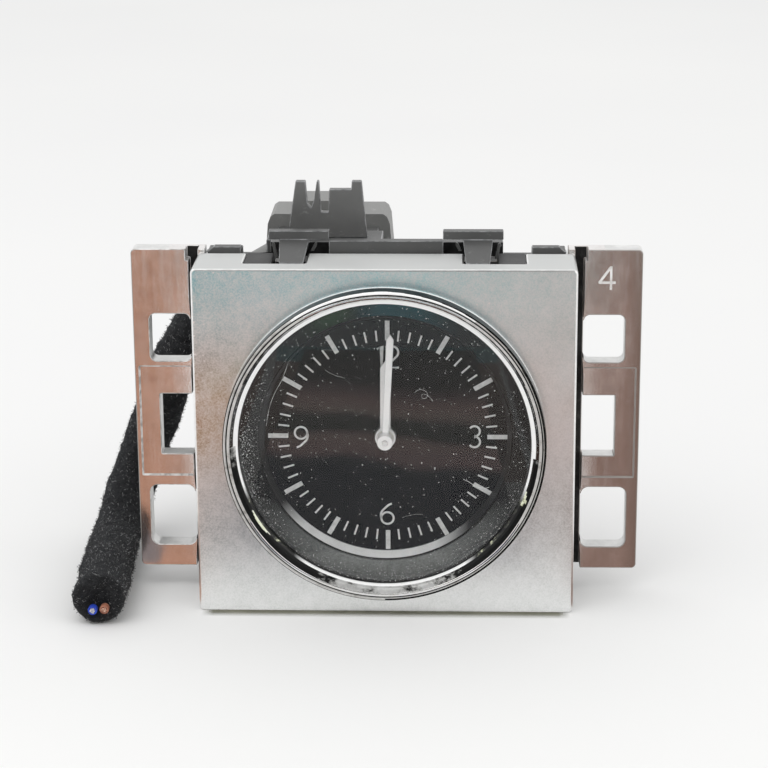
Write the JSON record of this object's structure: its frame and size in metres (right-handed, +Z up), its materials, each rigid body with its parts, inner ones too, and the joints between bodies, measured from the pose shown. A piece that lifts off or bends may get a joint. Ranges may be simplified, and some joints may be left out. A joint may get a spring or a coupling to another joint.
{
  "type": "dashboard analogue clock",
  "caption": "Dashboard analogue clock with a square satin face, round chrome bezel, black dial, windowed side ears, clip carrier and a cut fleece covered harness.",
  "frame": {"origin": "middle of the clock on the ground under it, halfway between the bezel's front and the socket's rear end", "axes": "+Z up, the face looks toward -Y, +X to the right as seen from the front"},
  "size_m": [0.0975, 0.0527, 0.0705],
  "materials": {
    "satin_metal": "satin",
    "ear_chrome": "polished",
    "bezel_chrome": "polished",
    "clear_glass": "clear",
    "black_rubber": "matte",
    "ring_satin": "satin",
    "dial_black": "matte",
    "clear_acrylic": "clear",
    "hand_white": "matte",
    "board_green": "lacquered",
    "lamp_white": "gloss",
    "chip_black": "matte",
    "bright_steel": "bright",
    "capacitor_tan": "matte",
    "natural_plastic": "matte",
    "gear_plastic": "matte",
    "brass": "satin",
    "magnet_grey": "satin",
    "soft_iron": "satin",
    "copper": "satin",
    "black_plastic": "satin",
    "tin_brass": "satin",
    "orange_rubber": "satin",
    "black_fleece": "fuzzy",
    "blue_insulation": "satin",
    "brown_insulation": "satin"
  },
  "bodies": {
    "case": {"face_shell": "satin_metal", "mounting_plate": "ear_chrome", "bezel_ring": "bezel_chrome", "glass": "clear_glass", "glass_gasket": "black_rubber", "reflector_ring": "ring_satin", "dial": "dial_black", "light_guide": "clear_acrylic", "circuit_board": "board_green", "dial_lamps": "lamp_white", "driver_chip": "chip_black", "quartz_can": "bright_steel", "board_capacitors": "capacitor_tan", "movement_front_plate": "natural_plastic", "movement_rear_plate": "natural_plastic", "movement_pillars": "brass", "movement_screws": "bright_steel", "stator": "soft_iron", "coil_core": "soft_iron", "coil_bobbin": "natural_plastic", "coil_winding": "copper", "carrier": "black_plastic", "carrier_screws": "bright_steel", "rear_housing": "black_plastic", "latch_guard": "black_plastic", "socket_contacts": "tin_brass", "plug_body": "black_plastic", "plug_cover": "black_plastic", "plug_seal": "orange_rubber", "harness_sleeve": "black_fleece", "wire_blue": "blue_insulation", "wire_brown": "brown_insulation"},
    "minute_train": {"minute_hand": "hand_white", "centre_arbor": "bright_steel"},
    "hour_train": {"hour_hand": "hand_white", "hour_wheel": "gear_plastic"},
    "motion_train": {"motion_wheel": "gear_plastic"},
    "third_train": {"third_wheel": "gear_plastic"},
    "rotor": {"rotor_magnet": "magnet_grey", "rotor_pinion": "gear_plastic"},
    "latch": {"plug_latch": "black_plastic"}
  },
  "joints": [
    {"name": "minute_turn", "type": "hinge", "parent": "case", "child": "minute_train", "pos_m": [0, 0, 0.0302], "axis": [0, 1, 0], "continuous": true},
    {"name": "hour_turn", "type": "hinge", "parent": "case", "child": "hour_train", "pos_m": [0, 0, 0.0302], "axis": [0, 1, 0], "continuous": true},
    {"name": "motion_turn", "type": "hinge", "parent": "case", "child": "motion_train", "pos_m": [0.0025, 0, 0.02587], "axis": [0, 1, 0], "continuous": true},
    {"name": "third_turn", "type": "hinge", "parent": "case", "child": "third_train", "pos_m": [-0.00636, 0, 0.02384], "axis": [0, 1, 0], "continuous": true},
    {"name": "rotor_turn", "type": "hinge", "parent": "case", "child": "rotor", "pos_m": [-0.00035, 0, 0.01783], "axis": [0, 1, 0], "continuous": true},
    {"name": "latch_press", "type": "hinge", "parent": "case", "child": "latch", "pos_m": [-0.0112, 0.01755, 0.0623], "axis": [1, 0, 0], "range_deg": [0, 5], "stiffness_Nm_per_rad": 0.02}
  ],
  "couplings": [
    {"joint": "hour_turn", "follows": "minute_turn", "ratio": 0.083333},
    {"joint": "motion_turn", "follows": "minute_turn", "ratio": -0.33333},
    {"joint": "third_turn", "follows": "minute_turn", "ratio": -8},
    {"joint": "rotor_turn", "follows": "minute_turn", "ratio": 60}
  ]
}
